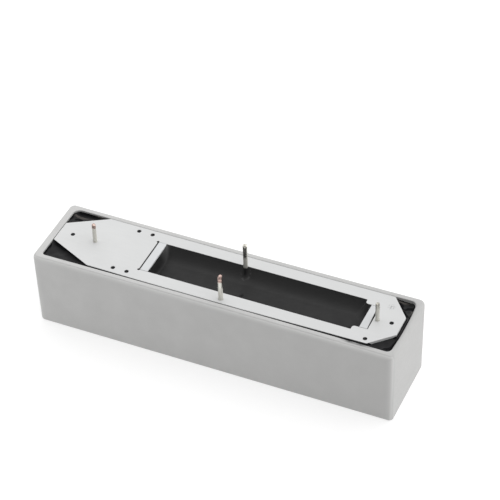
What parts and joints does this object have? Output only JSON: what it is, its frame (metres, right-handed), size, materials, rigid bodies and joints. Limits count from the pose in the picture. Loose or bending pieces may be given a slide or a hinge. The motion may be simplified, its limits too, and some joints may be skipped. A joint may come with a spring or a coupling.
{
  "type": "reed relay",
  "caption": "Sealed reed relay: a long potted box with a windowed terminal board flush with its open side and straight wire pins for a printed circuit board.",
  "frame": {"origin": "centre of the closed face, which the relay lies on", "axes": "+X along the case towards the end with the narrow window neck, +Y across the case away from the front coil pin, +Z out of the open side, the way the pins point"},
  "size_m": [0.066, 0.015, 0.02],
  "materials": {
    "case_plastic": "fine matte moulded",
    "resin": "glossy cast resin",
    "board": "satin laminate with a faint weave",
    "bobbin_plastic": "satin moulded",
    "copper": "enamelled copper wire",
    "reed_glass": "clear, drawn",
    "reed_metal": "rolled nickel-iron",
    "pin_metal": "tinned copper, cut ends",
    "solder": "frozen solder"
  },
  "bodies": {
    "relay_body": {"case_shell": "case_plastic", "potting_compound": "resin", "terminal_board": "board", "coil_bobbin": "bobbin_plastic", "coil_winding": "copper", "coil_wire_front": "copper", "coil_wire_rear": "copper", "reed_glass": "reed_glass", "reed_lead_left": "reed_metal", "reed_lead_right": "reed_metal", "contact_pin_left": "pin_metal", "contact_pin_right": "pin_metal", "coil_pin_front": "pin_metal", "coil_pin_rear": "pin_metal", "solder_joint_left": "solder", "solder_joint_right": "solder"},
    "left_blade": {"reed_blade_left": "reed_metal"},
    "right_blade": {"reed_blade_right": "reed_metal"}
  },
  "joints": [
    {"name": "left_blade_bend", "type": "hinge", "parent": "relay_body", "child": "left_blade", "pos_m": [-0.01893, 0, 0.00717], "axis": [0, 1, 0], "range_deg": [0, 0.48], "stiffness_Nm_per_rad": 0.05},
    {"name": "right_blade_bend", "type": "hinge", "parent": "relay_body", "child": "right_blade", "pos_m": [0.0216, 0, 0.00717], "axis": [0, 1, 0], "range_deg": [0, 0.48], "stiffness_Nm_per_rad": 0.05}
  ],
  "couplings": [
    {"joint": "right_blade_bend", "follows": "left_blade_bend", "ratio": 1}
  ]
}
